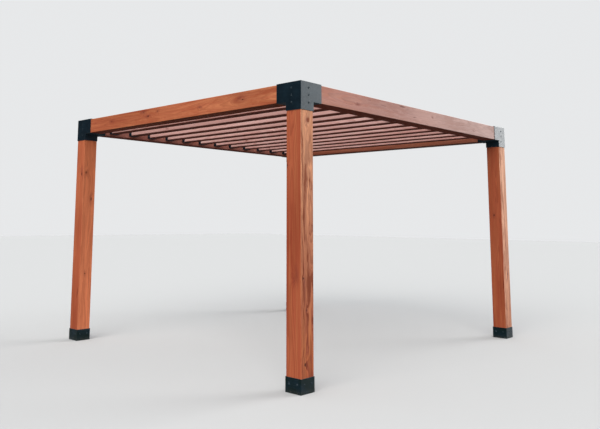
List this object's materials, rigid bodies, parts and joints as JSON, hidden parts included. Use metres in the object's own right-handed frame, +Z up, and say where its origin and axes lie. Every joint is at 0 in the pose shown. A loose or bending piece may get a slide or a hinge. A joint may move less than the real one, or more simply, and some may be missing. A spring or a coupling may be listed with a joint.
{
  "type": "timber garden pergola",
  "caption": "Open rectangular timber pergola: square posts in steel base shoes, square beams in three-way steel corner brackets, and square slats in hangers between the side beams.",
  "frame": {"origin": "centre of the footprint, on the ground", "axes": "+Z up, +X to the right along the slats, +Y to the back; the front beam is at -Y"},
  "size_m": [3.352, 3.756, 2.43],
  "materials": {
    "timber": "cedar stain on rough-sawn softwood, satin",
    "slat_timber": "cedar stain on rough-sawn softwood, satin",
    "black_steel": "black powder coat, satin"
  },
  "bodies": {
    "root": {"front_left_post": "timber", "front_left_base_shoe": "black_steel", "front_left_corner_bracket": "black_steel", "front_right_post": "timber", "front_right_base_shoe": "black_steel", "front_right_corner_bracket": "black_steel", "back_left_post": "timber", "back_left_base_shoe": "black_steel", "back_left_corner_bracket": "black_steel", "back_right_post": "timber", "back_right_base_shoe": "black_steel", "back_right_corner_bracket": "black_steel", "front_beam": "timber", "back_beam": "timber", "left_beam": "timber", "right_beam": "timber", "slat_1": "slat_timber", "slat_2": "slat_timber", "slat_3": "slat_timber", "slat_4": "slat_timber", "slat_5": "slat_timber", "slat_6": "slat_timber", "slat_7": "slat_timber", "slat_8": "slat_timber", "slat_9": "slat_timber", "slat_10": "slat_timber", "slat_11": "slat_timber", "slat_12": "slat_timber", "left_slat_hangers": "black_steel", "right_slat_hangers": "black_steel"}
  },
  "joints": []
}
